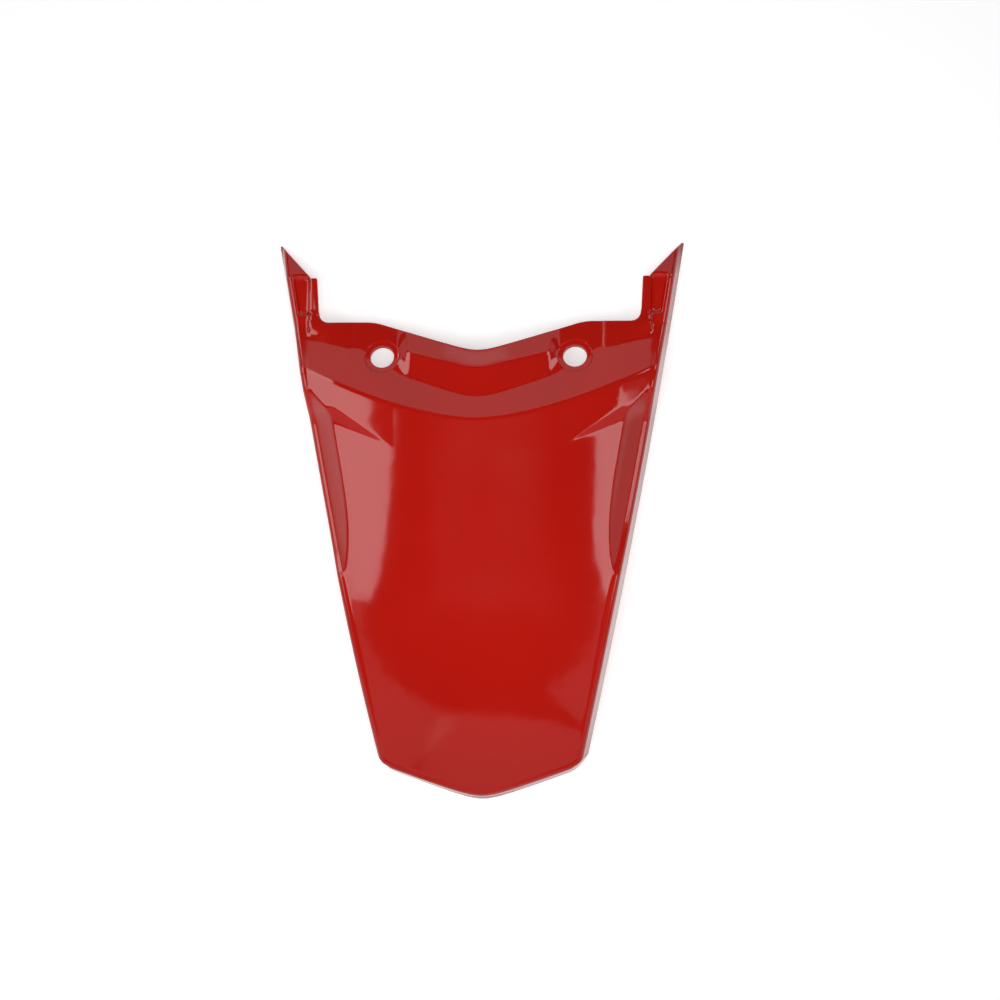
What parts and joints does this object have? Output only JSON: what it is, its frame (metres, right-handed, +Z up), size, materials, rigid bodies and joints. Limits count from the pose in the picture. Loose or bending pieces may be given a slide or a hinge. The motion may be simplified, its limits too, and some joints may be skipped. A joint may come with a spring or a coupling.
{
  "type": "rear mudguard",
  "caption": "Rear mudguard for a small trail motorbike: tapered moulded shell with turned-down skirt, V pad, sunk bolt seats and pointed front wings.",
  "frame": {"origin": "middle of the footprint of the whole shell, on the plane that the foot of its skirt rests on", "axes": "+X across the bike, +Y towards the front wings, -Y towards the tail point, +Z up out of the back"},
  "size_m": [0.215, 0.294, 0.039],
  "materials": {
    "red_plastic": "gloss, moulded in red"
  },
  "bodies": {
    "root": {"rear_mudguard": "red_plastic"}
  },
  "joints": []
}
